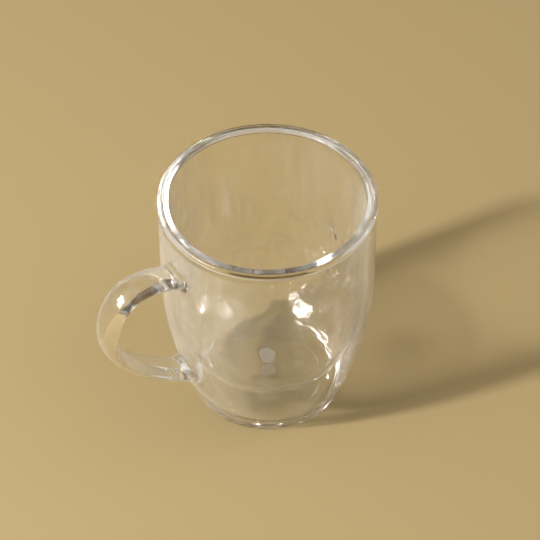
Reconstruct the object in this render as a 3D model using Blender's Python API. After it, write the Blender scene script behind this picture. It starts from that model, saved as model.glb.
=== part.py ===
"""Clear acrylic double-wall mug: an inner cup welded into an outer cup, with a cemented handle.

Units are metres, +Z is up and the handle points along +X. The origin is on the table, under the middle
of the whole footprint, so the axis of the two cups stands a little to the -X side of it.
"""

import math

import bmesh
import bpy
from mathutils import Euler, Matrix, Vector
from mathutils.geometry import interpolate_bezier

MM = 0.001

# Outer cup, as it stands
HEIGHT = 101.0 * MM
RIM_RADIUS = 42.5 * MM
BODY_RADIUS = 42.0 * MM
FOOT_RADIUS = 29.6 * MM
BARREL_HEIGHT = 60.0 * MM
BARREL_POWER = 1.85
OUTER_WALL = 2.2 * MM
OUTER_FLOOR_TOP = 3.7 * MM
INNER_CORNER_RADIUS = 8.0 * MM
FOOT_EDGE_RADIUS = 1.2 * MM
RECESS_RADIUS = 25.9 * MM
RECESS_FLOOR_RADIUS = 22.0 * MM
RECESS_DEPTH = 0.9 * MM
RECESS_EDGE_RADIUS = 2.0 * MM

# Rim joint: the inner cup's flange lies on a ledge inside the outer cup's rim
LEDGE_DEPTH = 3.0 * MM
REBATE_RADIUS = 41.15 * MM
RIM_EDGE_RADIUS = 1.1 * MM
FLANGE_RADIUS = 41.0 * MM
FLANGE_THICKNESS = 2.4 * MM
WELD_INNER_RADIUS = 40.4 * MM
WELD_OUTER_RADIUS = 40.95 * MM
BOND_GAP = 0.1 * MM

# Inner cup: a bowl of one arc that runs into a straight wall with a little draft
BOWL_RADIUS = 33.0 * MM
BOWL_CENTRE_R = 3.0 * MM
BOWL_CENTRE_Z = 43.0 * MM
INNER_DRAFT = math.radians(3.7)
INNER_WALL = 1.7 * MM
INNER_FLOOR_UNDERSIDE = 12.3 * MM
INNER_FLOOR_THICKNESS = 2.0 * MM
LIP_EDGE_RADIUS = 0.7 * MM

# Moulding gates, sunk in the undersides of both floors
GATE_RADIUS = 3.7 * MM
GATE_DEPTH = 0.6 * MM

# Handle: its centreline in the plane through the cups' axis, as distance from that axis and height
UPPER_END = (39.0 * MM, 80.6 * MM)
UPPER_RISE = math.radians(25)
SHOULDER = (60.5 * MM, 87.2 * MM)
OUTERMOST = (73.9 * MM, 68.5 * MM)
LOWER_END = (35.5 * MM, 26.0 * MM)
LOWER_SLOPE = math.radians(31)
UPPER_PULLS = (9.0 * MM, 10.0 * MM)
SHOULDER_PULLS = (6.9 * MM, 11.2 * MM)
LOWER_PULLS = (16.7 * MM, 22.0 * MM)
HANDLE_THICKNESS = 6.8 * MM
HANDLE_WIDTH = 13.0 * MM
FOOT_WIDENING = 1.0 * MM
UPPER_FLARE = (3.0 * MM, 1.7 * MM)
LOWER_FLARE = (0.2 * MM, 6.5 * MM)
FLARE_LENGTH = 4.5 * MM
FLARE_POWER = 1.8

# Cement under the handle's feet
CEMENT_THICKNESS = 0.4 * MM
CEMENT_WIDTH = 11.0 * MM
CEMENT_HEIGHT = 9.0 * MM
UPPER_CEMENT_Z = 82.4 * MM
LOWER_CEMENT_Z = 30.6 * MM

# Looks
CLEAR = (0.98, 0.98, 0.97)
HAZY = (0.94, 0.94, 0.92)
POLISHED = 0.03
SATIN = 0.18
ACRYLIC_IOR = 1.49

# Facets
TURN_STEPS = 64
WALL_STEPS = 12
WALL_CROWDING = 1.3
BOWL_STEPS = 8
EDGE_STEPS = 4
HANDLE_SIDES = 20
HANDLE_STEPS = (12, 12, 20)
CEMENT_SIDES = 24
SHARP_ANGLE = math.radians(35)
MERGE_DISTANCE = 0.001 * MM

HANDLE_REACH = OUTERMOST[0] + HANDLE_THICKNESS / 2
AXIS_X = (RIM_RADIUS - HANDLE_REACH) / 2
LEDGE_Z = HEIGHT - LEDGE_DEPTH
FLANGE_Z = HEIGHT - FLANGE_THICKNESS
CEMENT_FACE = BOND_GAP + CEMENT_THICKNESS
FOOT_FACE = CEMENT_FACE + BOND_GAP


def clear_scene():
    for obj in list(bpy.data.objects):
        bpy.data.objects.remove(obj, do_unlink=True)


def acrylic(name, colour, roughness):
    """A clear moulded plastic with a surface of its own."""
    material = bpy.data.materials.new(name)
    material.use_nodes = True
    shader = material.node_tree.nodes["Principled BSDF"]
    shader.inputs["Base Color"].default_value = (*colour, 1.0)
    shader.inputs["Metallic"].default_value = 0.0
    shader.inputs["Roughness"].default_value = roughness
    shader.inputs["IOR"].default_value = ACRYLIC_IOR
    shader.inputs["Transmission Weight"].default_value = 1.0
    return material


def spread(start, stop, steps):
    """Evenly spaced values from start to stop, both included."""
    return [start + (stop - start) * i / steps for i in range(steps + 1)]


def outer_radius(z):
    """Outside radius of the outer cup: a barrel that narrows to its foot and opens slightly to its rim."""
    if z < BARREL_HEIGHT:
        narrowing = (1 - z / BARREL_HEIGHT) ** BARREL_POWER
        return BODY_RADIUS - (BODY_RADIUS - FOOT_RADIUS) * narrowing
    opening = (z - BARREL_HEIGHT) / (HEIGHT - BARREL_HEIGHT)
    return BODY_RADIUS + (RIM_RADIUS - BODY_RADIUS) * opening**2


def wall_heights(bottom, top):
    """Heights for a wall of the barrel, closer together where it curves most."""
    return [bottom + (top - bottom) * t**WALL_CROWDING for t in spread(0, 1, WALL_STEPS)]


def barrel(offset=0.0):
    """The outside of the outer cup from foot edge to rim edge, as (r, z), moved out by an offset."""
    heights = wall_heights(2 * FOOT_EDGE_RADIUS, HEIGHT - 2 * RIM_EDGE_RADIUS)
    return [(outer_radius(z) + offset, z) for z in heights]


def corner_arc(before, corner, after, radius):
    """Points that round a corner of an outline with an arc tangent to both its sides."""
    corner = Vector(corner)
    to_before = (Vector(before) - corner).normalized()
    to_after = (Vector(after) - corner).normalized()
    half = to_before.angle(to_after) / 2
    middle = (to_before + to_after).normalized()
    centre = corner + middle * (radius / math.sin(half))
    start = corner + to_before * (radius / math.tan(half)) - centre
    sweep = start.angle_signed(corner + to_after * (radius / math.tan(half)) - centre)
    points = []
    for turn in spread(0, -sweep, EDGE_STEPS):
        points.append((
            centre.x + start.x * math.cos(turn) - start.y * math.sin(turn),
            centre.y + start.x * math.sin(turn) + start.y * math.cos(turn),
        ))
    return points


def rounded(outline):
    """The outline's (r, z, radius) points, with each corner that has a radius turned into an arc."""
    points = []
    for i, (r, z, radius) in enumerate(outline):
        if radius:
            points += corner_arc(outline[i - 1][:2], (r, z), outline[i + 1][:2], radius)
        else:
            points.append((r, z))
    return points


def add_object(name, bm, material, parent):
    """An object from a bmesh, with its faces out and its round faces shaded smooth."""
    bmesh.ops.recalc_face_normals(bm, faces=bm.faces)
    mesh = bpy.data.meshes.new(name)
    bm.to_mesh(mesh)
    bm.free()
    mesh.shade_smooth()
    mesh.set_sharp_from_angle(angle=SHARP_ANGLE)
    obj = bpy.data.objects.new(name, mesh)
    obj.parent = parent
    bpy.context.scene.collection.objects.link(obj)
    if material:
        mesh.materials.append(material)
    return obj


def turned(name, points, material, parent, closed=False):
    """A solid turned about the cups' axis. An open outline starts and ends on that axis."""
    bm = bmesh.new()
    verts = [bm.verts.new((r, 0, z)) for r, z in points]
    edges = [bm.edges.new(pair) for pair in zip(verts, verts[1:])]
    if closed:
        edges.append(bm.edges.new((verts[-1], verts[0])))
    bmesh.ops.spin(
        bm,
        geom=verts + edges,
        axis=(0, 0, 1),
        cent=(0, 0, 0),
        angle=math.tau,
        steps=TURN_STEPS,
        use_merge=True,
    )
    bmesh.ops.remove_doubles(bm, verts=bm.verts, dist=MERGE_DISTANCE)
    return add_object(name, bm, material, parent)


def helper(obj):
    """Marks a cutter, which shapes other pieces and isn't one itself."""
    obj.hide_render = True
    obj.display_type = "WIRE"
    return obj


def trim(obj, name, cutter, operation):
    modifier = obj.modifiers.new(name, "BOOLEAN")
    modifier.operation = operation
    modifier.solver = "EXACT"
    modifier.object = cutter


def make_outer_cup(parent):
    """The barrel with its floor, its foot ring and the ledge inside its rim."""
    floor_wall = outer_radius(OUTER_FLOOR_TOP) - OUTER_WALL
    inside = wall_heights(OUTER_FLOOR_TOP + INNER_CORNER_RADIUS, LEDGE_Z)
    gate_z = RECESS_DEPTH + GATE_DEPTH
    outline = [(0, OUTER_FLOOR_TOP, 0), (floor_wall, OUTER_FLOOR_TOP, INNER_CORNER_RADIUS)]
    outline += [(outer_radius(z) - OUTER_WALL, z, 0) for z in inside]
    outline += [(REBATE_RADIUS, LEDGE_Z, 0), (REBATE_RADIUS, HEIGHT, 0)]
    outline.append((RIM_RADIUS, HEIGHT, RIM_EDGE_RADIUS))
    outline += [(r, z, 0) for r, z in reversed(barrel())]
    outline.append((FOOT_RADIUS, 0, FOOT_EDGE_RADIUS))
    outline.append((RECESS_RADIUS, 0, RECESS_EDGE_RADIUS))
    outline.append((RECESS_FLOOR_RADIUS, RECESS_DEPTH, RECESS_EDGE_RADIUS))
    outline += [(GATE_RADIUS, RECESS_DEPTH, 0), (GATE_RADIUS, gate_z, 0), (0, gate_z, 0)]
    material = acrylic("outer_cup_acrylic", CLEAR, POLISHED)
    return turned("outer_cup", rounded(outline), material, parent)


def bowl(radius, floor_z):
    """Points up the bowl's arc, from its flat floor to where the straight wall leaves it."""
    lowest = -math.asin((BOWL_CENTRE_Z - floor_z) / radius)
    return [
        (BOWL_CENTRE_R + radius * math.cos(a), BOWL_CENTRE_Z + radius * math.sin(a))
        for a in spread(lowest, -INNER_DRAFT, BOWL_STEPS)
    ]


def drafted_radius(points, z):
    """Radius at height z of the straight wall that leaves the last of a bowl's points."""
    r, start = points[-1]
    return r + (z - start) * math.tan(INNER_DRAFT)


def make_inner_cup(parent):
    """The liner: a flat floor, a round bowl, a drafted wall and the flange at the rim."""
    inside = bowl(BOWL_RADIUS - INNER_WALL, INNER_FLOOR_UNDERSIDE + INNER_FLOOR_THICKNESS)
    outside = bowl(BOWL_RADIUS, INNER_FLOOR_UNDERSIDE)
    gate_z = INNER_FLOOR_UNDERSIDE + GATE_DEPTH
    outline = [(0, INNER_FLOOR_UNDERSIDE + INNER_FLOOR_THICKNESS, 0)]
    outline += [(r, z, 0) for r, z in inside]
    outline.append((drafted_radius(inside, HEIGHT), HEIGHT, LIP_EDGE_RADIUS))
    outline += [(FLANGE_RADIUS, HEIGHT, 0), (FLANGE_RADIUS, FLANGE_Z, 0)]
    outline.append((drafted_radius(outside, FLANGE_Z), FLANGE_Z, 0))
    outline += [(r, z, 0) for r, z in reversed(outside)]
    outline += [(GATE_RADIUS, INNER_FLOOR_UNDERSIDE, 0), (GATE_RADIUS, gate_z, 0), (0, gate_z, 0)]
    material = acrylic("inner_cup_acrylic", CLEAR, POLISHED)
    return turned("inner_cup", rounded(outline), material, parent)


def make_rim_weld(parent):
    """The ring of melted plastic between the ledge and the flange."""
    low = LEDGE_Z + BOND_GAP
    high = FLANGE_Z - BOND_GAP
    outline = [
        (WELD_INNER_RADIUS, high),
        (WELD_OUTER_RADIUS, high),
        (WELD_OUTER_RADIUS, low),
        (WELD_INNER_RADIUS, low),
    ]
    material = acrylic("rim_weld_acrylic", HAZY, SATIN)
    return turned("rim_weld", outline, material, parent, closed=True)


def handle_centreline():
    """Points along the handle, as (distance from the cups' axis, height), from upper to lower end."""
    upper, shoulder, outermost, lower = map(Vector, (UPPER_END, SHOULDER, OUTERMOST, LOWER_END))
    upper_way = Vector((math.cos(UPPER_RISE), math.sin(UPPER_RISE)))
    lower_way = Vector((math.cos(LOWER_SLOPE), math.sin(LOWER_SLOPE)))
    out = Vector((1, 0))
    up = Vector((0, 1))
    stretches = (
        (upper, upper + upper_way * UPPER_PULLS[0], shoulder - out * UPPER_PULLS[1], shoulder),
        (shoulder, shoulder + out * SHOULDER_PULLS[0], outermost + up * SHOULDER_PULLS[1], outermost),
        (outermost, outermost - up * LOWER_PULLS[0], lower + lower_way * LOWER_PULLS[1], lower),
    )
    points = [upper]
    for stretch, steps in zip(stretches, HANDLE_STEPS):
        curve = interpolate_bezier(*[p.to_3d() for p in stretch], steps + 1)
        points += [p.to_2d() for p in curve[1:]]
    return points


def flare(r, z):
    """How far the bar has opened into its foot, from 0 to 1, at a point near the barrel."""
    share = 1 - (r - outer_radius(z)) / FLARE_LENGTH
    return min(max(share, 0), 1) ** FLARE_POWER


def handle_ring(point, along, flares):
    """Points round the oval bar. Near the barrel its outer and inner halves flare by different amounts."""
    across = Vector((-along.y, along.x))
    ring = []
    for side in range(HANDLE_SIDES):
        turn = math.tau * side / HANDLE_SIDES
        bar = point + across * (HANDLE_THICKNESS / 2 * math.cos(turn))
        opened = flare(bar.x, bar.y)
        half_thickness = HANDLE_THICKNESS / 2 + flares[math.cos(turn) < 0] * opened
        half_width = HANDLE_WIDTH / 2 + FOOT_WIDENING * opened
        spot = point + across * (half_thickness * math.cos(turn))
        ring.append((spot.x, half_width * math.sin(turn), spot.y))
    return ring


def make_handle(parent):
    """An oval bar swept along the centreline, with feet that flare and are cut to the barrel."""
    points = handle_centreline()
    bm = bmesh.new()
    rings = []
    for i, point in enumerate(points):
        along = (points[min(i + 1, len(points) - 1)] - points[max(i - 1, 0)]).normalized()
        flares = UPPER_FLARE if point.y > OUTERMOST[1] else LOWER_FLARE
        rings.append([bm.verts.new(spot) for spot in handle_ring(point, along, flares)])
    for ring, following in zip(rings, rings[1:]):
        for side in range(HANDLE_SIDES):
            beside = (side + 1) % HANDLE_SIDES
            bm.faces.new((ring[side], ring[beside], following[beside], following[side]))
    bm.faces.new(rings[0])
    bm.faces.new(rings[-1])
    handle = add_object("handle", bm, acrylic("handle_acrylic", CLEAR, POLISHED), parent)
    face = barrel(FOOT_FACE)
    solid = [(0, face[-1][1]), *reversed(face), (0, face[0][1])]
    trim(handle, "feet", helper(turned("handle_feet_cutter", solid, None, parent)), "DIFFERENCE")
    return handle


def make_bond(name, height, parent, shell):
    """A thin oval layer of cement, bent to the barrel."""
    bm = bmesh.new()
    bmesh.ops.create_cone(
        bm,
        cap_ends=True,
        segments=CEMENT_SIDES,
        radius1=1,
        radius2=1,
        depth=BODY_RADIUS,
        matrix=Matrix.LocRotScale(
            Vector((BODY_RADIUS, 0, height)),
            Euler((0, math.pi / 2, 0)),
            Vector((CEMENT_HEIGHT / 2, CEMENT_WIDTH / 2, 1)),
        ),
    )
    bond = add_object(name, bm, acrylic(f"{name}_cement", HAZY, SATIN), parent)
    trim(bond, "wall", shell, "INTERSECT")
    return bond


def main():
    clear_scene()
    mug = bpy.data.objects.new("mug", None)
    mug.location = (AXIS_X, 0, 0)
    bpy.context.scene.collection.objects.link(mug)
    make_outer_cup(mug)
    make_inner_cup(mug)
    make_rim_weld(mug)
    make_handle(mug)
    layer = barrel(BOND_GAP) + barrel(CEMENT_FACE)[::-1]
    shell = helper(turned("cement_layer", layer, None, mug, closed=True))
    make_bond("upper_handle_bond", UPPER_CEMENT_Z, mug, shell)
    make_bond("lower_handle_bond", LOWER_CEMENT_Z, mug, shell)


main()
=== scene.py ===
"""The looks of a clear acrylic double-wall mug: smooth shells, handle and seams, floor, light and camera.

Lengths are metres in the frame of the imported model: +Z is up and the handle points along +X.
"""

import math

import bmesh
import bpy
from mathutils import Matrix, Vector, noise


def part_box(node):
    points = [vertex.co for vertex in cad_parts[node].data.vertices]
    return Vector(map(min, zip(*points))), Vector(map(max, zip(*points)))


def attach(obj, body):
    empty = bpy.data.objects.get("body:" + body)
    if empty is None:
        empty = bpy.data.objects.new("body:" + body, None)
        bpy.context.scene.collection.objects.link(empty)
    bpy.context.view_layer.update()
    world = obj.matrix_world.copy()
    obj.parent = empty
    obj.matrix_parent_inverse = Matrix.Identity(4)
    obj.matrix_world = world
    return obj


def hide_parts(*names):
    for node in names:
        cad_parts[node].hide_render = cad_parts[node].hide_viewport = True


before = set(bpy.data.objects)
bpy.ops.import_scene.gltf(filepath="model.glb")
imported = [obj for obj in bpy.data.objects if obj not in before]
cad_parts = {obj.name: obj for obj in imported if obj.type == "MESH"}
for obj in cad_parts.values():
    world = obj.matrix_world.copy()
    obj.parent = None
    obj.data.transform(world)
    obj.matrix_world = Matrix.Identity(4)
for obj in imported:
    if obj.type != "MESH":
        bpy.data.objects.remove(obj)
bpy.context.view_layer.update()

MM = 0.001
BODY = "root"
UP = Vector((0, 0, 1))

# Outer cup
CUP_LOW, CUP_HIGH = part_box("outer_cup")
AXIS_X = (CUP_LOW.x + CUP_HIGH.x) / 2
HEIGHT = CUP_HIGH.z
RIM_RADIUS = 42.5 * MM
BODY_RADIUS = 42.0 * MM
FOOT_RADIUS = 29.6 * MM
BARREL_HEIGHT = 60.0 * MM
BARREL_POWER = 1.85
OUTER_WALL = 2.2 * MM
OUTER_FLOOR_TOP = 3.7 * MM
INNER_CORNER_RADIUS = 8.0 * MM
FOOT_EDGE_RADIUS = 1.2 * MM
RECESS_RADIUS = 25.9 * MM
RECESS_EDGE_RADIUS = 2.0 * MM
RECESS_STEP_RADIUS = 22.2 * MM
RECESS_STEP_Z = 0.7 * MM
RECESS_FLOOR_RADIUS = 22.0 * MM
RECESS_DEPTH = 0.9 * MM

# Rim joint
LEDGE_DEPTH = 3.0 * MM
LEDGE_Z = HEIGHT - LEDGE_DEPTH
LEDGE_RADIUS = 40.23 * MM
REBATE_RADIUS = 41.15 * MM
RIM_EDGE_RADIUS = 1.1 * MM
FLANGE_RADIUS = 41.0 * MM
FLANGE_THICKNESS = 2.4 * MM
FLANGE_Z = HEIGHT - FLANGE_THICKNESS
SEAM_EDGE_RADIUS = 0.25 * MM
WELD_INNER_RADIUS = 40.4 * MM
WELD_OUTER_RADIUS = 40.95 * MM
BOND_GAP = 0.1 * MM

# Inner cup
BOWL_RADIUS = 33.0 * MM
BOWL_CENTRE_R = 3.0 * MM
BOWL_CENTRE_Z = 43.0 * MM
INNER_DRAFT = math.radians(3.7)
INNER_WALL = 1.7 * MM
INNER_FLOOR_UNDERSIDE = 12.3 * MM
INNER_FLOOR_THICKNESS = 2.0 * MM
LIP_EDGE_RADIUS = 0.7 * MM

# Moulding gates in the undersides of both floors
GATE_RADIUS = 3.7 * MM
GATE_DEPTH = 0.6 * MM

# Handle: points of its centreline by distance from the cups' axis and height, and its slopes at both ends
UPPER_END = (39.0 * MM, 80.6 * MM)
UPPER_RISE = math.radians(25)
SHOULDER = (60.5 * MM, 87.2 * MM)
OUTERMOST = (73.9 * MM, 68.5 * MM)
LOWER_END = (35.5 * MM, 26.0 * MM)
LOWER_SLOPE = math.radians(31)
HANDLE_THICKNESS = 6.8 * MM
HANDLE_WIDTH = 13.0 * MM

# How far each curve of the handle's centreline is pulled along its way at its start and at its end
UPPER_PULLS = (9.0 * MM, 10.0 * MM)
SHOULDER_PULLS = (6.9 * MM, 11.2 * MM)
LOWER_PULLS = (16.7 * MM, 22.0 * MM)

# The handle's feet: the upper and the lower one flare by different amounts outside and inside the bend
FOOT_WIDENING = 1.0 * MM
UPPER_FLARE = (3.0 * MM, 1.7 * MM)
LOWER_FLARE = (0.2 * MM, 6.5 * MM)
FLARE_LENGTH = 4.5 * MM
FLARE_POWER = 1.8

# Cement under the handle's feet
CEMENT_THICKNESS = 0.4 * MM
CEMENT_WIDTH = 11.0 * MM
CEMENT_HEIGHT = 9.0 * MM
CEMENT_FACE = BOND_GAP + CEMENT_THICKNESS
FOOT_FACE = CEMENT_FACE + BOND_GAP

# Places in a cup's list of materials, where its wall comes first
GATE_MATERIAL = 1
RIM_MATERIAL = 2
BOTTOM_MATERIAL = 3
FUSED_MATERIAL = 4

# Place in the handle's list of materials, where its bar comes first
FOOT_MATERIAL = 1

# How near a face is to a gate's floor or to a fused seam to belong to it, and how far down the rim goes
GATE_NEAR = GATE_DEPTH / 4
SEAM_NEAR = 0.02 * MM
RIM_BELOW_LEDGE = 2.0 * MM
RIM_ZONE_Z = LEDGE_Z - RIM_BELOW_LEDGE

# Slight moulding waves: their length, how much a step upwards counts beside one sideways, and their height
OUTER_WAVES = ((18.0 * MM, 0.3, 0.06 * MM), (7.0 * MM, 0.6, 0.03 * MM))
OUTER_WAVES_START = OUTER_FLOOR_TOP
OUTER_WAVES_SEED = Vector((3.1, 7.7, 1.9))
INNER_WAVES = ((16.0 * MM, 0.3, 0.06 * MM), (5.0 * MM, 0.8, 0.05 * MM))
INNER_WAVES_START = 18.0 * MM
INNER_WAVES_SEED = Vector((11.3, 2.2, 5.8))
HANDLE_WAVES = ((14.0 * MM, 1.0, 0.05 * MM),)
HANDLE_WAVES_CENTRE = Vector((AXIS_X + OUTERMOST[0] / 2, 0, OUTERMOST[1]))
HANDLE_WAVES_SEED = Vector((2, 9, 4))
WAVES_FADE = 6.0 * MM

# Flow marks on both faces of the air gap: waves as above, turned from the camera's side, between two heights
OUTER_FLOW = ((9.0 * MM, 0.5, 0.6 * MM), (3.5 * MM, 0.7, 0.25 * MM))
OUTER_FLOW_TURN = math.radians(-115)
OUTER_FLOW_HEIGHTS = (4.0 * MM, 60.0 * MM)
INNER_FLOW = ((7.0 * MM, 0.5, 0.9 * MM), (2.6 * MM, 0.5, 0.3 * MM))
INNER_FLOW_TURN = math.radians(-140)
INNER_FLOW_HEIGHTS = (17.0 * MM, 75.0 * MM)
FLOW_CENTRE = Vector((AXIS_X, 0, BOWL_CENTRE_Z))
FLOW_SEED = Vector((5.3, 8.1, 2.4))

# Where the flow marks fade to both sides, by the cosine of the angle from their middle, and to their top
FLOW_EDGE = 0.5
FLOW_EDGE_FADE = 0.35
FLOW_TOP_FADE = 20.0 * MM

# Turning marks on top of the rim: their height, their spacing and how fast they change around it
RIM_MARKS = 0.03 * MM
RIM_MARKS_SPACING = 0.4 * MM
RIM_MARKS_CHANGE = 1.3

# Fineness of the meshes
TURN_STEPS = 320
WALL_STEPS = 80
BOWL_STEPS = 60
EDGE_STEPS = 8
RIM_STEPS = 10
HANDLE_SIDES = 48
HANDLE_ROWS = 150
HALVINGS = 40
CAP_RINGS = 4
CEMENT_MIDDLE = 0.5
FLOOR_SIDES = 96
SHARP_ANGLE = math.radians(30)
ON_AXIS = 0.001 * MM

# Camera
IMAGE_SIDE = 540
FOCAL_PIXELS = 2800
SENSOR = 36.0
CAMERA_TURN = math.radians(35)
CAMERA_ELEVATION = math.radians(45.6)
CAMERA_DISTANCE = 1100.4 * MM
CAMERA_TARGET_Z = 61.5 * MM
CAMERA_ASIDE = 0.94 * MM
FRONT = Vector((math.sin(CAMERA_TURN), math.cos(CAMERA_TURN), 0))
LEFT = Vector((math.cos(CAMERA_TURN), -math.sin(CAMERA_TURN), 0))

# Plastic: its streaks and smudges are noise between two limits
ACRYLIC_COLOUR = (0.99, 0.99, 0.985, 1)
ACRYLIC_IOR = 1.49
FUSED_IOR = 1.0
STREAK_SCALE = 230
STREAK_STRETCH = (1, 1, 0.1)
STREAK_LIMITS = (0.45, 0.7)
SMUDGE_SCALE = 30
SMUDGE_LIMITS = (0.48, 0.7)
NOISE_DETAIL = 3.0
GRAZING_BLEND = 0.5
EDGE_HAZE_POWER = 5.0

# Haze from handling grows along X between two places, and is less or more in the streaks
HANDLED_FROM = -14.0 * MM
HANDLED_TO = 22.0 * MM
HANDLED_STREAKS = (0.6, 1.6)

# Share of the lamps' light that crosses a wall straight on, and at a grazing angle
WALL_LIGHT = (0.98, 0.0)
BASE_LIGHT = (1.0, 0.9)
BOWL_LIGHT = (0.85, 0.1)
LIGHT_POWER = 3.0

# Floor
FLOOR_RADIUS = 3.0
FLOOR_COLOUR = (0.54, 0.415, 0.21, 1)
FLOOR_ROUGHNESS = 0.9
FLOOR_SPECULAR = 0.1

# Lamps: turn to the camera's left and elevation, size, power, colour, and whether they light matt surfaces
LAMP_DISTANCE = 1.3
KEY_COLOUR = (1.0, 0.97, 0.92)
KEY_WAY = (math.radians(65), math.radians(38))
PANEL_COLOUR = (1.0, 0.985, 0.95)
RIGHT_WAY = (math.radians(-80), math.radians(42))
BACK_WAY = (math.radians(-150), math.radians(12))
LAMPS = {
    "key": (KEY_WAY, (0.08, 0.08), 13.6, KEY_COLOUR, True),
    "halo": (KEY_WAY, (0.45, 0.45), 17.8, KEY_COLOUR, False),
    "glow": (KEY_WAY, (0.7, 0.7), 2.4, KEY_COLOUR, True),
    "right_panel": (RIGHT_WAY, (0.9, 0.7), 2.0, PANEL_COLOUR, True),
    "back_card": (BACK_WAY, (0.8, 0.5), 1.1, PANEL_COLOUR, True),
}

# Sky: the sine of the height, the brightness there and its tint
SKY_WARM = (1.0, 0.72, 0.40)
SKY_PALE = (1.0, 0.965, 0.90)
SKY_LEVELS = (
    (0.0, 0.42, SKY_PALE),
    (0.03, 0.38, SKY_PALE),
    (0.07, 0.07, SKY_WARM),
    (0.22, 0.10, SKY_WARM),
    (0.42, 0.65, SKY_PALE),
    (0.85, 0.8, SKY_PALE),
    (0.94, 0.35, SKY_PALE),
    (1.0, 0.25, SKY_PALE),
)

# Dark parts of the sky: the cosines between which it darkens towards their middle, and what is left there
SKY_BEHIND = (0.35, 0.65, (0.22, 0.14, 0.06))
SKY_NEAR_CAMERA = (0.82, 0.93, (0.12, 0.1, 0.07))

# Bounces that let light cross all the clear walls
BOUNCES = 64


def spread(start, stop, steps):
    """Evenly spaced values from start to stop, both included."""
    return [start + (stop - start) * i / steps for i in range(steps + 1)]


def share_of(value, start, length):
    """How far a value is along a stretch, from 0 to 1."""
    return min(max((value - start) / length, 0), 1)


def from_axis(point):
    """How far a point is from the cups' axis."""
    return math.hypot(point.x - AXIS_X, point.y)


def towards(turn, elevation):
    """A direction from the mug. Its turn is from the camera's side, positive to the camera's left."""
    flat = FRONT * math.cos(turn) + LEFT * math.sin(turn)
    return flat * math.cos(elevation) + UP * math.sin(elevation)


def outer_radius(z):
    """Outside radius of the outer cup: a barrel that narrows to its foot and opens slightly to its rim."""
    if z < BARREL_HEIGHT:
        narrowing = (1 - z / BARREL_HEIGHT) ** BARREL_POWER
        return BODY_RADIUS - (BODY_RADIUS - FOOT_RADIUS) * narrowing
    opening = (z - BARREL_HEIGHT) / (HEIGHT - BARREL_HEIGHT)
    return BODY_RADIUS + (RIM_RADIUS - BODY_RADIUS) * opening**2


def corner_arc(before, corner, after, radius):
    """Points that round a corner of an outline with an arc tangent to both its sides."""
    corner = Vector(corner)
    to_before = (Vector(before) - corner).normalized()
    to_after = (Vector(after) - corner).normalized()
    half = to_before.angle(to_after) / 2
    middle = (to_before + to_after).normalized()
    centre = corner + middle * (radius / math.sin(half))
    start = corner + to_before * (radius / math.tan(half)) - centre
    sweep = start.angle_signed(corner + to_after * (radius / math.tan(half)) - centre)
    points = []
    for turn in spread(0, -sweep, EDGE_STEPS):
        points.append((
            centre.x + start.x * math.cos(turn) - start.y * math.sin(turn),
            centre.y + start.x * math.sin(turn) + start.y * math.cos(turn),
        ))
    return points


def rounded(outline):
    """The outline's (r, z, radius) points, with each corner that has a radius turned into an arc."""
    points = []
    for i, (r, z, radius) in enumerate(outline):
        if radius:
            points += corner_arc(outline[i - 1][:2], (r, z), outline[i + 1][:2], radius)
        else:
            points.append((r, z))
    return points


def add_piece(name, bm, materials, slot, *nodes):
    """Adds a smooth piece from a bmesh, in place of the nodes that it stands for."""
    bmesh.ops.recalc_face_normals(bm, faces=bm.faces)
    mesh = bpy.data.meshes.new(name)
    bm.to_mesh(mesh)
    bm.free()
    mesh.shade_smooth()
    mesh.set_sharp_from_angle(angle=SHARP_ANGLE)
    for material in materials:
        mesh.materials.append(material)
    piece = bpy.data.objects.new(name, mesh)
    bpy.context.scene.collection.objects.link(piece)
    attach(piece, BODY)
    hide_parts(*nodes)


def join_rings(bm, ring, following, material_index=0):
    """Faces between two rings of as many vertices. A ring may be one vertex repeated."""
    for i in range(len(ring)):
        beside = (i + 1) % len(ring)
        corners = (ring[i], ring[beside], following[beside], following[i])
        bm.faces.new(dict.fromkeys(corners)).material_index = material_index


def turned(points, closed=False):
    """A bmesh turned about the cups' axis. An open outline starts and ends on that axis."""
    bm = bmesh.new()
    rings = []
    for r, z in points:
        if r < ON_AXIS:
            rings.append([bm.verts.new((AXIS_X, 0, z))] * TURN_STEPS)
            continue
        ring = []
        for step in range(TURN_STEPS):
            turn = math.tau * step / TURN_STEPS
            ring.append(bm.verts.new((AXIS_X + r * math.cos(turn), r * math.sin(turn), z)))
        rings.append(ring)
    if closed:
        rings.append(rings[0])
    for ring, following in zip(rings, rings[1:]):
        join_rings(bm, ring, following)
    return bm


def wave(place, waves, seed):
    """How far the waves move a surface at a place."""
    shift = 0
    for length, upward, height in waves:
        spot = Vector((place.x, place.y, place.z * upward)) / length
        shift += height * noise.noise(spot + seed)
    return shift


def ripple(bm, waves, start_z, seed):
    """Moves a cup's surface in and out by slight waves, which fade at its bottom and at the rim joint."""
    bm.normal_update()
    for vert in bm.verts:
        fade = share_of(vert.co.z, start_z, WAVES_FADE) * share_of(-vert.co.z, -RIM_ZONE_Z, WAVES_FADE)
        vert.co += vert.normal * fade * wave(vert.co, waves, seed)


def add_flow_marks(bm, waves, turn, heights, outside):
    """Uneven streaks that the melt left on a cup's outside or inside, around one side, between two heights.

    The normals of a turned mesh point into the plastic until it is made a piece.
    """
    low, high = heights
    side = towards(turn, 0)
    bm.normal_update()
    for vert in bm.verts:
        out = vert.co - FLOW_CENTRE
        faces_out = vert.normal.dot(out) <= 0
        if faces_out != outside:
            continue
        flat = Vector((out.x, out.y, 0)).normalized()
        mask = share_of(flat.dot(side), FLOW_EDGE, FLOW_EDGE_FADE)
        mask *= share_of(vert.co.z, low, WAVES_FADE) * share_of(-vert.co.z, -high, FLOW_TOP_FADE)
        vert.co += vert.normal * mask * wave(vert.co, waves, FLOW_SEED)


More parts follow.
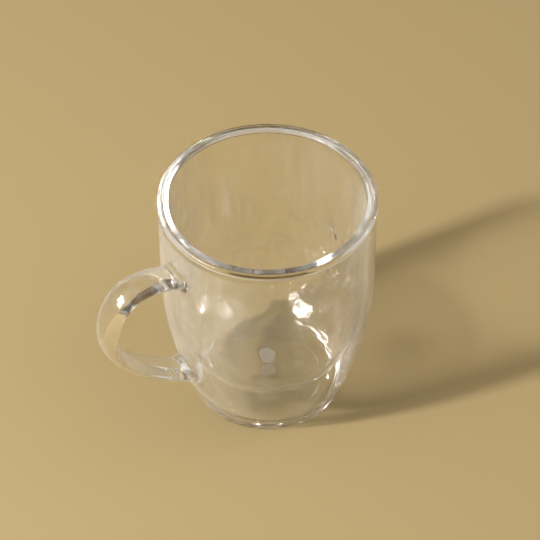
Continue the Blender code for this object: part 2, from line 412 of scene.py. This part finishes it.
def add_turning_marks(bm):
    """Fine rings that turning and polishing left on the top of the rim."""
    bm.normal_update()
    for vert in bm.verts:
        if vert.co.z < HEIGHT - RIM_EDGE_RADIUS:
            continue
        radius = from_axis(vert.co)
        around = Vector((0, vert.co.y, vert.co.x - AXIS_X)) / radius
        spot = Vector((radius, vert.co.z, 0)) / RIM_MARKS_SPACING + around * RIM_MARKS_CHANGE
        vert.co += vert.normal * RIM_MARKS * noise.noise(spot)


def dress_cup(bm, gate_z, bottom_z, seam_radius, seam_z):
    """Gives the gate's floor, the fused faces of the rim joint, the rim and the bottom their materials."""
    for face in bm.faces:
        middle = face.calc_center_median()
        radius = from_axis(middle)
        beside = abs(radius - seam_radius) < SEAM_NEAR and seam_z < middle.z < HEIGHT - SEAM_EDGE_RADIUS
        under = abs(middle.z - seam_z) < SEAM_NEAR and radius > LEDGE_RADIUS
        if radius < GATE_RADIUS and abs(middle.z - gate_z) < GATE_NEAR:
            face.material_index = GATE_MATERIAL
        elif beside or under:
            face.material_index = FUSED_MATERIAL
        elif middle.z > RIM_ZONE_Z:
            face.material_index = RIM_MATERIAL
        elif middle.z < bottom_z:
            face.material_index = BOTTOM_MATERIAL


def make_outer_cup(materials):
    """The barrel with its floor, its foot ring and the ledge inside its rim."""
    floor_wall = outer_radius(OUTER_FLOOR_TOP) - OUTER_WALL
    corner_top = OUTER_FLOOR_TOP + INNER_CORNER_RADIUS
    inside = spread(corner_top, LEDGE_Z, WALL_STEPS)
    outside = spread(HEIGHT - 2 * RIM_EDGE_RADIUS, 2 * FOOT_EDGE_RADIUS, WALL_STEPS)
    gate_z = RECESS_DEPTH + GATE_DEPTH
    outline = [(0, OUTER_FLOOR_TOP, 0), (floor_wall, OUTER_FLOOR_TOP, INNER_CORNER_RADIUS)]
    outline += [(outer_radius(z) - OUTER_WALL, z, 0) for z in inside]
    outline += [(REBATE_RADIUS, LEDGE_Z, 0), (REBATE_RADIUS, HEIGHT, SEAM_EDGE_RADIUS)]
    outline.append((RIM_RADIUS, HEIGHT, RIM_EDGE_RADIUS))
    outline += [(outer_radius(z), z, 0) for z in outside]
    outline.append((FOOT_RADIUS, 0, FOOT_EDGE_RADIUS))
    outline.append((RECESS_RADIUS, 0, RECESS_EDGE_RADIUS))
    outline.append((RECESS_STEP_RADIUS, RECESS_STEP_Z, 0))
    outline.append((RECESS_FLOOR_RADIUS, RECESS_DEPTH, 0))
    outline += [(GATE_RADIUS, RECESS_DEPTH, 0), (GATE_RADIUS, gate_z, 0), (0, gate_z, 0)]
    bm = turned(rounded(outline))
    dress_cup(bm, gate_z, corner_top, REBATE_RADIUS, LEDGE_Z)
    ripple(bm, OUTER_WAVES, OUTER_WAVES_START, OUTER_WAVES_SEED)
    add_flow_marks(bm, OUTER_FLOW, OUTER_FLOW_TURN, OUTER_FLOW_HEIGHTS, outside=False)
    add_turning_marks(bm)
    add_piece("outer_cup_shell", bm, materials, "clear_acrylic", "outer_cup")


def bowl(radius, floor_z):
    """Points up the bowl's arc, from its flat floor to where the straight wall leaves it."""
    lowest = -math.asin((BOWL_CENTRE_Z - floor_z) / radius)
    return [
        (BOWL_CENTRE_R + radius * math.cos(a), BOWL_CENTRE_Z + radius * math.sin(a))
        for a in spread(lowest, -INNER_DRAFT, BOWL_STEPS)
    ]


def drafted_wall(points, top):
    """Points up the straight wall that leaves the last of a bowl's points, the top one included."""
    r, start = points[-1]
    return [
        (r + (z - start) * math.tan(INNER_DRAFT), z)
        for z in spread(start, top, WALL_STEPS)[1:]
    ]


def make_inner_cup(materials):
    """The liner: a flat floor, a round bowl, a drafted wall and the flange at the rim."""
    floor_top = INNER_FLOOR_UNDERSIDE + INNER_FLOOR_THICKNESS
    inside = bowl(BOWL_RADIUS - INNER_WALL, floor_top)
    outside = bowl(BOWL_RADIUS, INNER_FLOOR_UNDERSIDE)
    inside += drafted_wall(inside, HEIGHT)
    outside += drafted_wall(outside, FLANGE_Z)
    gate_z = INNER_FLOOR_UNDERSIDE + GATE_DEPTH
    outline = [(0, floor_top, 0)]
    outline += [(r, z, 0) for r, z in inside[:-1]]
    outline.append((*inside[-1], LIP_EDGE_RADIUS))
    flat = spread(inside[-1][0] + LIP_EDGE_RADIUS, FLANGE_RADIUS - SEAM_EDGE_RADIUS, RIM_STEPS)
    outline += [(r, HEIGHT, 0) for r in flat[1:-1]]
    outline += [(FLANGE_RADIUS, HEIGHT, SEAM_EDGE_RADIUS), (FLANGE_RADIUS, FLANGE_Z, 0)]
    outline.append((LEDGE_RADIUS, FLANGE_Z, 0))
    outline += [(r, z, 0) for r, z in reversed(outside)]
    outline += [(GATE_RADIUS, INNER_FLOOR_UNDERSIDE, 0), (GATE_RADIUS, gate_z, 0), (0, gate_z, 0)]
    bm = turned(rounded(outline))
    dress_cup(bm, gate_z, BOWL_CENTRE_Z, FLANGE_RADIUS, FLANGE_Z)
    ripple(bm, INNER_WAVES, INNER_WAVES_START, INNER_WAVES_SEED)
    add_flow_marks(bm, INNER_FLOW, INNER_FLOW_TURN, INNER_FLOW_HEIGHTS, outside=True)
    add_turning_marks(bm)
    add_piece("inner_cup_liner", bm, materials, "clear_acrylic", "inner_cup")


def make_rim_weld(material):
    """The ring of melted plastic between the ledge and the flange."""
    low = LEDGE_Z + BOND_GAP
    high = FLANGE_Z - BOND_GAP
    outline = [
        (WELD_INNER_RADIUS, high),
        (WELD_OUTER_RADIUS, high),
        (WELD_OUTER_RADIUS, low),
        (WELD_INNER_RADIUS, low),
    ]
    bm = turned(outline, closed=True)
    add_piece("rim_weld_bead", bm, (material,), "weld_acrylic", "rim_weld")


def handle_stretches():
    """The handle's centreline as three cubic curves of (distance from the cups' axis, height)."""
    upper, shoulder, outermost, lower = map(Vector, (UPPER_END, SHOULDER, OUTERMOST, LOWER_END))
    upper_way = Vector((math.cos(UPPER_RISE), math.sin(UPPER_RISE)))
    lower_way = Vector((math.cos(LOWER_SLOPE), math.sin(LOWER_SLOPE)))
    out = Vector((1, 0))
    up = Vector((0, 1))
    return (
        (upper, upper + upper_way * UPPER_PULLS[0], shoulder - out * UPPER_PULLS[1], shoulder),
        (shoulder, shoulder + out * SHOULDER_PULLS[0], outermost + up * SHOULDER_PULLS[1], outermost),
        (outermost, outermost - up * LOWER_PULLS[0], lower + lower_way * LOWER_PULLS[1], lower),
    )


STRETCHES = handle_stretches()


def centreline(place):
    """The point and direction at a place from 0 to 3 along the three curves."""
    index = min(int(place), len(STRETCHES) - 1)
    t = place - index
    points = STRETCHES[index]
    while len(points) > 2:
        points = [a.lerp(b, t) for a, b in zip(points, points[1:])]
    return points[0].lerp(points[1], t), (points[1] - points[0]).normalized()


def flare(r, z):
    """How far the bar has opened into its foot, from 0 to 1, at a point near the barrel."""
    return share_of(outer_radius(z) - r, -FLARE_LENGTH, FLARE_LENGTH) ** FLARE_POWER


def bar_point(place, turn):
    """A point on the oval bar. Near the barrel its outer and inner halves flare by different amounts."""
    point, along = centreline(place)
    across = Vector((-along.y, along.x))
    bar = point + across * (HANDLE_THICKNESS / 2 * math.cos(turn))
    opened = flare(bar.x, bar.y)
    flares = UPPER_FLARE if point.y > OUTERMOST[1] else LOWER_FLARE
    half_thickness = HANDLE_THICKNESS / 2 + flares[math.cos(turn) < 0] * opened
    half_width = HANDLE_WIDTH / 2 + FOOT_WIDENING * opened
    spot = point + across * (half_thickness * math.cos(turn))
    return Vector((AXIS_X + spot.x, half_width * math.sin(turn), spot.y))


def off_barrel(point):
    """How far a point is outside the surface on which the handle's feet end."""
    return from_axis(point) - outer_radius(point.z) - FOOT_FACE


def meets_barrel(inside, outside, turn):
    """Where along the bar it meets the wall, between a place inside the barrel and one outside it."""
    for _ in range(HALVINGS):
        middle = (inside + outside) / 2
        if off_barrel(bar_point(middle, turn)) > 0:
            outside = middle
        else:
            inside = middle
    return outside


def on_barrel(y, z, offset):
    """The point of the barrel, moved out by an offset, at a width and a height on the handle's side."""
    return Vector((AXIS_X + math.sqrt((outer_radius(z) + offset) ** 2 - y**2), y, z))


def around_bar():
    """Evenly spaced turns around the bar."""
    return [math.tau * side / HANDLE_SIDES for side in range(HANDLE_SIDES)]


def ripple_handle(bm):
    """Moves the bar's surface by slight waves, which fade at its feet."""
    for vert in bm.verts:
        fade = share_of(off_barrel(vert.co), 0, WAVES_FADE)
        out = (vert.co - HANDLE_WAVES_CENTRE).normalized()
        vert.co += out * fade * wave(vert.co, HANDLE_WAVES, HANDLE_WAVES_SEED)


def cap_foot(bm, ring):
    """Closes an end of the handle with faces that follow the barrel."""
    middle = sum((v.co for v in ring), Vector()) / len(ring)
    outer = ring
    for share in spread(1, 0, CAP_RINGS)[1:-1]:
        inner = []
        for vert in ring:
            spot = middle.lerp(vert.co, share)
            inner.append(bm.verts.new(on_barrel(spot.y, spot.z, FOOT_FACE)))
        join_rings(bm, outer, inner, FOOT_MATERIAL)
        outer = inner
    centre = bm.verts.new(on_barrel(middle.y, middle.z, FOOT_FACE))
    join_rings(bm, outer, [centre] * len(ring), FOOT_MATERIAL)


def make_handle(materials):
    """An oval bar swept along the centreline, with feet that flare and end on the barrel."""
    bm = bmesh.new()
    turns = around_bar()
    end = len(STRETCHES)
    ends = [(meets_barrel(0, 1, turn), meets_barrel(end, end - 1, turn)) for turn in turns]
    rings = []
    for share in spread(0, 1, HANDLE_ROWS):
        ring = []
        for turn, (first, last) in zip(turns, ends):
            ring.append(bm.verts.new(bar_point(first + (last - first) * share, turn)))
        rings.append(ring)
    for ring, following in zip(rings, rings[1:]):
        join_rings(bm, ring, following)
    ripple_handle(bm)
    cap_foot(bm, rings[0])
    cap_foot(bm, rings[-1])
    add_piece("handle_bar", bm, materials, "clear_acrylic", "handle")


def make_bond(name, node, material):
    """A thin oval layer of cement, bent to the barrel."""
    low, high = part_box(node)
    height = (low.z + high.z) / 2
    bm = bmesh.new()
    back = bm.verts.new(on_barrel(0, height, BOND_GAP))
    loops = [[back] * HANDLE_SIDES]
    for share, offset in (
        (CEMENT_MIDDLE, BOND_GAP), (1, BOND_GAP), (1, CEMENT_FACE), (CEMENT_MIDDLE, CEMENT_FACE),
    ):
        loop = []
        for turn in around_bar():
            y = share * CEMENT_WIDTH / 2 * math.cos(turn)
            z = height + share * CEMENT_HEIGHT / 2 * math.sin(turn)
            loop.append(bm.verts.new(on_barrel(y, z, offset)))
        loops.append(loop)
    front = bm.verts.new(on_barrel(0, height, CEMENT_FACE))
    loops.append([front] * HANDLE_SIDES)
    for loop, following in zip(loops, loops[1:]):
        join_rings(bm, loop, following)
    add_piece(name, bm, (material,), "clear_cement", node)


def add_node(tree, kind, inputs=None, **settings):
    """A node with its settings, and each input set to a value or linked to another node's output."""
    node = tree.nodes.new(kind)
    for name, value in settings.items():
        setattr(node, name, value)
    for socket, value in (inputs or {}).items():
        if isinstance(value, bpy.types.NodeSocket):
            tree.links.new(value, node.inputs[socket])
        else:
            node.inputs[socket].default_value = value
    return node


def calculate(tree, operation, *inputs):
    """The result of a math node."""
    return add_node(tree, "ShaderNodeMath", dict(enumerate(inputs)), operation=operation).outputs["Value"]


def vector_math(tree, operation, *inputs):
    """The outputs of a vector math node."""
    return add_node(tree, "ShaderNodeVectorMath", dict(enumerate(inputs)), operation=operation).outputs


def ranged(tree, value, low, high, start=0, stop=1):
    """A value mapped to a range from low to high as it goes from start to stop."""
    inputs = {"Value": value, "From Min": start, "From Max": stop, "To Min": low, "To Max": high}
    return add_node(tree, "ShaderNodeMapRange", inputs).outputs["Result"]


def cloud(tree, place, scale, low, high):
    """Cloudy noise as a mask from 0 to 1."""
    inputs = {"Vector": place, "Scale": scale, "Detail": NOISE_DETAIL}
    blur = add_node(tree, "ShaderNodeTexNoise", inputs).outputs["Fac"]
    return ranged(tree, blur, 0, 1, low, high)


def grazing(tree, power):
    """How much a ray grazes the surface, from 0 straight on to 1, nearer the edge with a higher power."""
    facing = add_node(tree, "ShaderNodeLayerWeight", {"Blend": GRAZING_BLEND}).outputs["Facing"]
    return calculate(tree, "POWER", facing, power)


def let_lamps_through(tree, shader, at_face, at_edge):
    """Lets a share of light pass straight through, and another share where it grazes the surface."""
    path = add_node(tree, "ShaderNodeLightPath").outputs
    either = calculate(tree, "MAXIMUM", path["Is Shadow Ray"], path["Is Diffuse Ray"])
    passed = ranged(tree, grazing(tree, LIGHT_POWER), at_face, at_edge)
    film = add_node(tree, "ShaderNodeBsdfTransparent", {"Color": passed})
    inputs = {0: either, 1: shader.outputs["BSDF"], 2: film.outputs["BSDF"]}
    mixed = add_node(tree, "ShaderNodeMixShader", inputs)
    tree.links.new(mixed.outputs["Shader"], tree.nodes["Material Output"].inputs["Surface"])


def haze_of_handling(tree, place, streaks, most):
    """Haze that grows towards the handle's side, and is stronger in the streaks."""
    aside = add_node(tree, "ShaderNodeSeparateXYZ", {"Vector": place}).outputs["X"]
    touched = ranged(tree, aside, 0, most, HANDLED_FROM, HANDLED_TO)
    return calculate(tree, "MULTIPLY", touched, ranged(tree, streaks, *HANDLED_STREAKS))


def haze_at_edges(tree, most):
    """Haze where a ray from outside the plastic grazes it."""
    backfacing = add_node(tree, "ShaderNodeNewGeometry").outputs["Backfacing"]
    return calculate(tree, "MULTIPLY", grazing(tree, EDGE_HAZE_POWER), ranged(tree, backfacing, most, 0))


def acrylic(
    name, haze, streak_haze, edge_haze=0.0, handled_haze=0.0, roughness=0.0, smudge_roughness=0.02,
    light=WALL_LIGHT, ior=ACRYLIC_IOR,
):
    """Clear plastic with an even haze, more of it in smudged streaks, at edges and where it is handled.

    Smudges add to its roughness. Its light is the share of the lamps' light that crosses it.
    """
    material = bpy.data.materials.new(name)
    material.use_nodes = True
    tree = material.node_tree
    shader = tree.nodes["Principled BSDF"]
    shader.inputs["Base Color"].default_value = ACRYLIC_COLOUR
    shader.inputs["IOR"].default_value = ior
    place = add_node(tree, "ShaderNodeTexCoord").outputs["Object"]
    stretch = {"Vector": place, "Scale": STREAK_STRETCH}
    drawn = add_node(tree, "ShaderNodeMapping", stretch).outputs["Vector"]
    streaks = cloud(tree, drawn, STREAK_SCALE, *STREAK_LIMITS)
    smudges = cloud(tree, place, SMUDGE_SCALE, *SMUDGE_LIMITS)
    smudged_streaks = calculate(tree, "MULTIPLY", streaks, smudges)
    clearness = ranged(tree, smudged_streaks, 1 - haze, 1 - haze - streak_haze)
    handled = haze_of_handling(tree, place, streaks, handled_haze)
    clearness = calculate(tree, "SUBTRACT", clearness, handled)
    clearness = calculate(tree, "SUBTRACT", clearness, haze_at_edges(tree, edge_haze))
    rough = ranged(tree, smudges, roughness, roughness + smudge_roughness)
    tree.links.new(clearness, shader.inputs["Transmission Weight"])
    tree.links.new(rough, shader.inputs["Roughness"])
    let_lamps_through(tree, shader, *light)
    return material


def make_mug():
    """All the pieces of the mug, with their materials."""
    wall = acrylic("clear_acrylic", haze=0.004, streak_haze=0.08, edge_haze=0.8, handled_haze=0.08)
    liner = acrylic("liner_acrylic", haze=0.002, streak_haze=0.08, edge_haze=0.4)
    grip = acrylic("handle_acrylic", haze=0.01, streak_haze=0.12, edge_haze=0.9)
    cemented = acrylic("cemented_face", haze=0.02, streak_haze=0.3, smudge_roughness=0.05)
    fused = acrylic("welded_face", haze=0.0, streak_haze=0.02, smudge_roughness=0.0, ior=FUSED_IOR)
    rim = acrylic("polished_rim", haze=0.0, streak_haze=0.02, roughness=0.015, smudge_roughness=0.03)
    base = acrylic("base_acrylic", haze=0.003, streak_haze=0.02, edge_haze=0.3, light=BASE_LIGHT)
    round_bottom = acrylic("bowl_acrylic", haze=0.0, streak_haze=0.02, edge_haze=0.2, light=BOWL_LIGHT)
    frosted = acrylic(
        "frosted_gate", haze=0.36, streak_haze=0.1, roughness=0.35, smudge_roughness=0.1, light=BASE_LIGHT,
    )
    weld = acrylic("weld_acrylic", haze=0.4, streak_haze=0.2, ior=FUSED_IOR)
    cement = acrylic("clear_cement", haze=0.3, streak_haze=0.2, roughness=0.08)
    make_outer_cup((wall, frosted, rim, base, fused))
    make_inner_cup((liner, frosted, rim, round_bottom, fused))
    make_rim_weld(weld)
    make_handle((grip, cemented))
    make_bond("upper_foot_cement", "upper_handle_bond", cement)
    make_bond("lower_foot_cement", "lower_handle_bond", cement)


def make_floor():
    """A plain, matt, round floor under the mug."""
    bm = bmesh.new()
    bmesh.ops.create_circle(bm, cap_ends=True, segments=FLOOR_SIDES, radius=FLOOR_RADIUS)
    mesh = bpy.data.meshes.new("floor")
    bm.to_mesh(mesh)
    bm.free()
    material = bpy.data.materials.new("plain_floor")
    material.use_nodes = True
    shader = material.node_tree.nodes["Principled BSDF"]
    shader.inputs["Base Color"].default_value = FLOOR_COLOUR
    shader.inputs["Roughness"].default_value = FLOOR_ROUGHNESS
    shader.inputs["Specular IOR Level"].default_value = FLOOR_SPECULAR
    mesh.materials.append(material)
    floor = bpy.data.objects.new("floor", mesh)
    bpy.context.scene.collection.objects.link(floor)


def make_camera():
    """The camera, where the photo was taken from."""
    data = bpy.data.cameras.new("camera")
    data.sensor_width = SENSOR
    data.lens = SENSOR * FOCAL_PIXELS / IMAGE_SIDE
    camera = bpy.data.objects.new("camera", data)
    bpy.context.scene.collection.objects.link(camera)
    back = towards(0, CAMERA_ELEVATION)
    target = Vector((AXIS_X, 0, CAMERA_TARGET_Z)) - LEFT * CAMERA_ASIDE
    camera.location = target + back * CAMERA_DISTANCE
    camera.rotation_euler = (-back).to_track_quat("-Z", "Y").to_euler()
    bpy.context.scene.camera = camera


def add_lamp(name, way, size, power, colour, lights_matt):
    """A panel of light that faces the mug. Unless it lights matt surfaces, only gloss and glass show it."""
    data = bpy.data.lights.new(name, "AREA")
    data.shape = "RECTANGLE"
    data.size, data.size_y = size
    data.energy = power
    data.color = colour
    lamp = bpy.data.objects.new(name, data)
    bpy.context.scene.collection.objects.link(lamp)
    out = towards(*way)
    lamp.location = Vector((AXIS_X, 0, HEIGHT / 2)) + out * LAMP_DISTANCE
    lamp.rotation_euler = (-out).to_track_quat("-Z", "Y").to_euler()
    lamp.visible_camera = False
    lamp.visible_diffuse = lights_matt


def sky_by_height(tree, way):
    """The sky's colour in a direction, by how high that points."""
    height = add_node(tree, "ShaderNodeSeparateXYZ", {"Vector": way}).outputs["Z"]
    ramp = add_node(tree, "ShaderNodeValToRGB", {"Fac": height})
    stops = ramp.color_ramp.elements
    for position, *_ in SKY_LEVELS[1:-1]:
        stops.new(position)
    for stop, (_, level, tint) in zip(stops, SKY_LEVELS):
        stop.color = (*[level * share for share in tint], 1)
    return ramp.outputs["Color"]


def darkened(tree, colour, cosine, start, stop, left):
    """A colour that fades to the share of it that is left as a cosine goes from start to stop."""
    dimmer = add_node(tree, "ShaderNodeValToRGB", {"Fac": cosine})
    first, last = dimmer.color_ramp.elements
    first.position = start
    first.color = (1, 1, 1, 1)
    last.position = stop
    last.color = (*left, 1)
    return vector_math(tree, "MULTIPLY", colour, dimmer.outputs["Color"])["Vector"]


def make_world():
    """A studio: pale at the horizon, dark low down, bright above, and dark behind and near the camera."""
    world = bpy.data.worlds.new("studio")
    world.use_nodes = True
    tree = world.node_tree
    way = add_node(tree, "ShaderNodeTexCoord").outputs["Generated"]
    flat = vector_math(tree, "MULTIPLY", way, (1, 1, 0))["Vector"]
    flat = vector_math(tree, "NORMALIZE", flat)["Vector"]
    behind = vector_math(tree, "DOT_PRODUCT", flat, tuple(-FRONT))["Value"]
    near_camera = vector_math(tree, "DOT_PRODUCT", way, tuple(towards(0, CAMERA_ELEVATION)))["Value"]
    colour = sky_by_height(tree, way)
    colour = darkened(tree, colour, behind, *SKY_BEHIND)
    colour = darkened(tree, colour, near_camera, *SKY_NEAR_CAMERA)
    tree.links.new(colour, tree.nodes["Background"].inputs["Color"])
    bpy.context.scene.world = world


def make_light():
    """The lamps and the studio around them."""
    for name, settings in LAMPS.items():
        add_lamp(name, *settings)
    make_world()


def set_render():
    """Plain colours, and enough bounces for clear walls behind each other."""
    scene = bpy.context.scene
    scene.view_settings.view_transform = "Standard"
    scene.cycles.max_bounces = BOUNCES
    scene.cycles.transmission_bounces = BOUNCES
    scene.cycles.glossy_bounces = BOUNCES
    scene.cycles.transparent_max_bounces = BOUNCES
    scene.cycles.sample_clamp_indirect = 0.0
    scene.cycles.blur_glossy = 0.0


make_mug()
make_floor()
make_camera()
make_light()
set_render()
